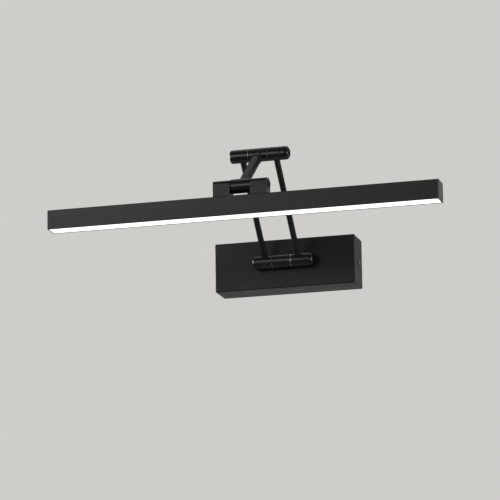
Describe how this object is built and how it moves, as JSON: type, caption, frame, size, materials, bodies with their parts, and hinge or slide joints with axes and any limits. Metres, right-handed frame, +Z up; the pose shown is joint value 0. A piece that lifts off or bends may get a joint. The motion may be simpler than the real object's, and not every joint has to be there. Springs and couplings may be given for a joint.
{
  "type": "picture light",
  "caption": "Wall-mounted picture light: box canopy, twin-rod lower arm, single upper arm and a long slim LED lamp bar on friction hinges.",
  "frame": {"origin": "on the wall plane, at the centre between the two wall screw slots, behind the middle of the canopy", "axes": "+Z up, +Y into the wall, the lamp reaches out along -Y and its bar runs along X"},
  "size_m": [0.403, 0.2048, 0.125],
  "materials": {
    "black_enamel": "satin",
    "black_anodised": "satin",
    "black_profile": "matte",
    "black_plastic": "satin",
    "grey_nylon": "matte",
    "bright_steel": "satin",
    "satin_steel": "satin",
    "dark_steel": "satin",
    "zinc_plate": "satin",
    "brass": "satin",
    "black_rubber": "matte",
    "driver_plastic": "matte",
    "terminal_plastic": "satin",
    "lead_sheath": "satin",
    "opal_diffuser": "satin",
    "board_white": "satin",
    "led_phosphor": "satin"
  },
  "bodies": {
    "wall_box": {"mounting_plate": "zinc_plate", "cable_grommet": "black_rubber", "canopy_shell": "black_enamel", "side_screws": "satin_steel", "driver_case": "driver_plastic", "driver_pad": "black_rubber", "terminal_block": "terminal_plastic", "terminal_screws": "brass", "earth_screw": "brass", "hollow_stud": "brass", "stud_nut": "brass", "stud_washer": "bright_steel", "saddle_washer": "black_anodised", "base_knuckle": "black_anodised", "base_lead": "lead_sheath"},
    "lower_arm": {"lower_left_knuckle": "black_anodised", "lower_right_knuckle": "black_anodised", "lower_end_cap": "black_anodised", "lower_left_washer": "grey_nylon", "lower_right_washer": "bright_steel", "lower_pivot": "brass", "left_rod": "black_enamel", "right_rod": "black_enamel", "top_left_knuckle": "black_anodised", "top_right_knuckle": "black_anodised", "top_end_cap": "black_anodised", "top_left_washer": "satin_steel", "top_right_washer": "grey_nylon", "top_pivot": "brass", "frame_lead": "lead_sheath"},
    "upper_arm": {"arm_top_knuckle": "black_anodised", "arm_ferrule": "black_enamel", "arm_tube": "black_enamel", "lamp_knuckle": "black_anodised", "arm_lead": "lead_sheath"},
    "lamp": {"left_block": "black_profile", "right_block": "black_profile", "block_screws": "dark_steel", "tilt_pin": "dark_steel", "tilt_cap": "dark_steel", "tilt_washers": "bright_steel", "lamp_profile": "black_profile", "left_bar_cap": "black_plastic", "right_bar_cap": "black_plastic", "diffuser": "opal_diffuser", "led_board": "board_white", "led_chips": "led_phosphor", "lamp_lead": "lead_sheath"}
  },
  "joints": [
    {"name": "base_hinge", "type": "hinge", "parent": "wall_box", "child": "lower_arm", "pos_m": [0, -0.0415, 0.0005], "axis": [1, 0, 0], "range_deg": [-44, 46]},
    {"name": "elbow_hinge", "type": "hinge", "parent": "lower_arm", "child": "upper_arm", "pos_m": [0, -0.1294, 0.09216], "axis": [1, 0, 0], "range_deg": [-80, 45]},
    {"name": "lamp_tilt", "type": "hinge", "parent": "upper_arm", "child": "lamp", "pos_m": [0, -0.19606, 0.04356], "axis": [1, 0, 0], "range_deg": [-60, 60]}
  ]
}
